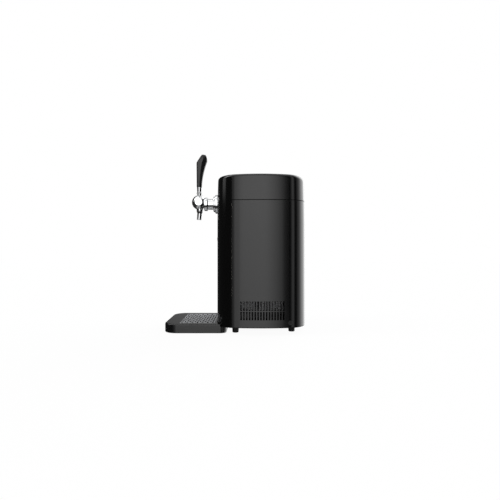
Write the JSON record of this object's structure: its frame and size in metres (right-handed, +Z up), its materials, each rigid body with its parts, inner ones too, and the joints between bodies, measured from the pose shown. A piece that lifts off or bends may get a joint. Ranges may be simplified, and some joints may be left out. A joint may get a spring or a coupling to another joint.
{
  "type": "countertop mini keg cooler and tap",
  "caption": "Black countertop mini keg cooler with a curved gloss front, chrome tap and paddle handle, rear-hinged lid, side vents and a pull-out drip tray.",
  "frame": {"origin": "on the worktop, under the middle of the whole machine's box, from the front of the tray to the back of the hinge", "axes": "+Z up, -Y towards the tap and drip tray, +X towards the cabinet's right side as seen from behind the lid hinge looking at the tap"},
  "size_m": [0.262, 0.4168, 0.534],
  "materials": {
    "shell_black": "satin",
    "fascia_black": "high gloss",
    "matt_black": "matt moulded",
    "tray_black": "satin moulded",
    "handle_black": "satin",
    "rubber_black": "matt",
    "chrome": "polished",
    "steel": "zinc plated",
    "grid_grey": "perforated, satin",
    "aluminium": "plain",
    "foam": "foamed",
    "display_glass": "smoked",
    "board_green": "solder mask",
    "ceramic_white": "fired",
    "hose_clear": "translucent",
    "brass": "machined"
  },
  "bodies": {
    "cabinet": {"base_pan": "matt_black", "side_shell": "shell_black", "front_fascia": "fascia_black", "side_plug_left": "matt_black", "side_plug_right": "matt_black", "foot_front_left": "rubber_black", "foot_front_right": "rubber_black", "foot_rear_left": "rubber_black", "foot_rear_right": "rubber_black", "cavity_liner": "aluminium", "cavity_foam": "foam", "top_deck": "shell_black", "deck_gasket": "rubber_black", "cold_plate": "aluminium", "peltier_module": "ceramic_white", "heat_sink": "aluminium", "fan_frame": "matt_black", "hinge_leaf_base": "steel", "hinge_pin": "steel", "hinge_screw_base_left": "steel", "hinge_screw_base_right": "steel", "control_board": "board_green", "display_window": "display_glass", "power_inlet": "matt_black", "switch_bezel": "matt_black", "fan_lead": "rubber_black", "power_lead": "rubber_black", "faucet_flange": "chrome", "faucet_shank": "chrome", "shank_nut": "brass", "faucet_collar": "chrome", "faucet_body": "chrome", "lever_pin": "chrome", "faucet_spout": "chrome", "keg_coupler": "matt_black", "gas_regulator": "brass", "gas_cartridge": "steel", "beer_line": "hose_clear"},
    "lid": {"lid_shell": "shell_black", "lid_liner": "matt_black", "lid_foam": "foam", "hinge_leaf_lid": "steel", "hinge_screw_lid_left": "steel", "hinge_screw_lid_right": "steel"},
    "tap": {"tap_lever": "chrome", "tap_ferrule": "chrome", "tap_handle": "handle_black"},
    "valve": {"valve_plunger": "steel", "valve_seal": "rubber_black"},
    "tray": {"drip_tray": "tray_black"},
    "grid": {"drip_grid": "grid_grey"},
    "fan": {"fan_rotor": "matt_black"},
    "colder_key": {"button_colder": "matt_black"},
    "warmer_key": {"button_warmer": "matt_black"},
    "rocker": {"power_rocker": "matt_black"},
    "gas_knob": {"regulator_knob": "matt_black"}
  },
  "joints": [
    {"name": "lid_hinge", "type": "hinge", "parent": "cabinet", "child": "lid", "pos_m": [0, 0.2054, 0.38], "axis": [-1, 0, 0], "range_deg": [0, 85]},
    {"name": "tap_pull", "type": "hinge", "parent": "cabinet", "child": "tap", "pos_m": [0, -0.1164, 0.386], "axis": [1, 0, 0], "range_deg": [0, 40]},
    {"name": "valve_slide", "type": "slide", "parent": "cabinet", "child": "valve", "axis": [0, 1, 0], "range_m": [0, 0.0045]},
    {"name": "tray_slide", "type": "slide", "parent": "cabinet", "child": "tray", "axis": [0, -1, 0], "range_m": [0, 0.12]},
    {"name": "grid_lift", "type": "slide", "parent": "tray", "child": "grid", "axis": [0, 0, 1], "range_m": [0, 0.05]},
    {"name": "fan_spin", "type": "hinge", "parent": "cabinet", "child": "fan", "pos_m": [0, 0.0906, 0.05], "axis": [0, 0, 1], "continuous": true},
    {"name": "colder_press", "type": "slide", "parent": "cabinet", "child": "colder_key", "axis": [0, 1, 0], "range_m": [0, 0.001], "stiffness_N_per_m": 300},
    {"name": "warmer_press", "type": "slide", "parent": "cabinet", "child": "warmer_key", "axis": [0, 1, 0], "range_m": [0, 0.001], "stiffness_N_per_m": 300},
    {"name": "rocker_tip", "type": "hinge", "parent": "cabinet", "child": "rocker", "pos_m": [0.038, 0.1991, 0.033], "axis": [1, 0, 0], "range_deg": [0, 11]},
    {"name": "knob_turn", "type": "hinge", "parent": "cabinet", "child": "gas_knob", "pos_m": [-0.07, 0.0906, 0.414], "axis": [1, 0, 0], "range_deg": [0, 270]}
  ],
  "couplings": [
    {"joint": "valve_slide", "follows": "tap_pull", "m_per_rad": 0.006}
  ]
}
